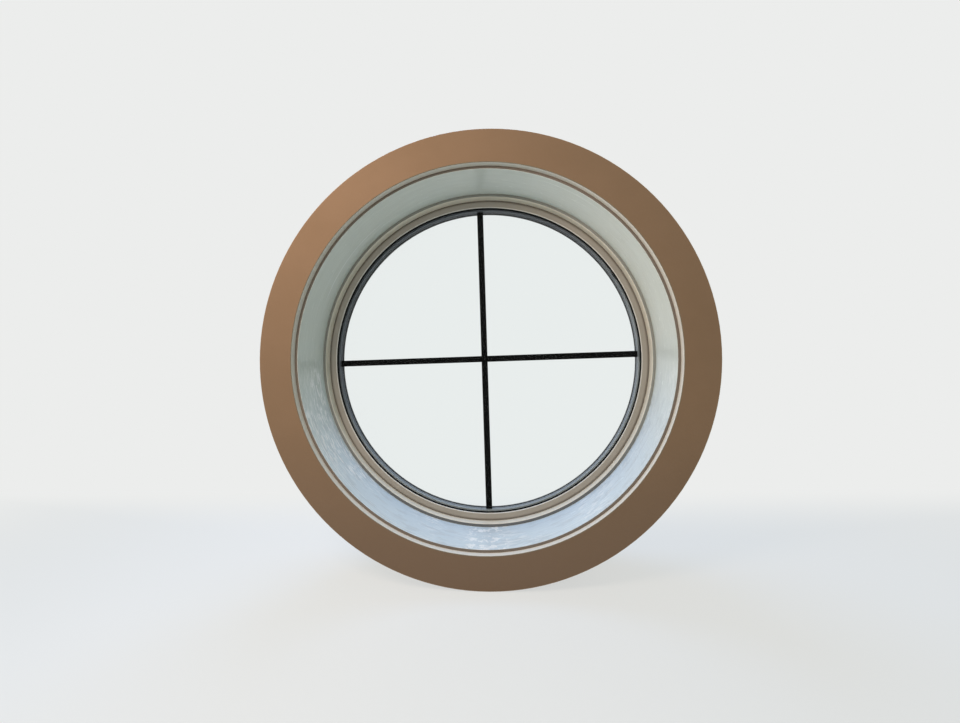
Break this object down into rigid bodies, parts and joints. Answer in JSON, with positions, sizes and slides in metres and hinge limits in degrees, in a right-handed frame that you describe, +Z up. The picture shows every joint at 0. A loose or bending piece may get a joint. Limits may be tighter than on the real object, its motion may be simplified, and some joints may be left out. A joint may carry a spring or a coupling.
{
  "type": "round window",
  "caption": "Fixed round window: flat casing ring, deep white jamb, plastic frame with nailing fin, and double glazing with a black cross grille between the panes.",
  "frame": {"origin": "on the window's axis, in the plane where the nailing fin meets the wall's sheathing", "axes": "+Y along the window's axis towards the outdoors, +Z up, +X to the right as seen from the room"},
  "size_m": [1.0219, 0.2203, 1.022],
  "materials": {
    "casing_paint": "satin wall paint on fibreboard",
    "jamb_gloss": "brushed white gloss paint",
    "frame_plastic": "satin white indoors, black outdoors",
    "bead_plastic": "satin white",
    "fin_plastic": "plain extruded",
    "cover_plastic": "moulded black",
    "seal_rubber": "matte black",
    "block_rubber": "matte dark grey",
    "tape_foam": "closed-cell foam",
    "clear_glass": "clear float glass",
    "spacer_plastic": "matte grey with fine lines",
    "drying_beads": "fine beads",
    "edge_seal": "trowelled sealant",
    "grille_metal": "matte black paint",
    "clip_plastic": "moulded black",
    "steel": "bright zinc"
  },
  "bodies": {
    "root": {"interior_casing": "casing_paint", "casing_brads": "steel", "jamb_extension": "jamb_gloss", "jamb_screws": "steel", "window_frame": "frame_plastic", "weep_covers": "cover_plastic", "nailing_fin": "fin_plastic", "glazing_bead": "bead_plastic", "bead_gasket": "seal_rubber", "glazing_tape": "tape_foam", "inner_pane": "clear_glass", "outer_pane": "clear_glass", "spacer": "spacer_plastic", "spacer_key": "clip_plastic", "desiccant_fill": "drying_beads", "edge_sealant": "edge_seal", "grille_bar_vertical": "grille_metal", "grille_bar_horizontal": "grille_metal", "grille_end_clips": "clip_plastic", "setting_blocks": "block_rubber", "edge_blocks": "block_rubber"}
  },
  "joints": []
}
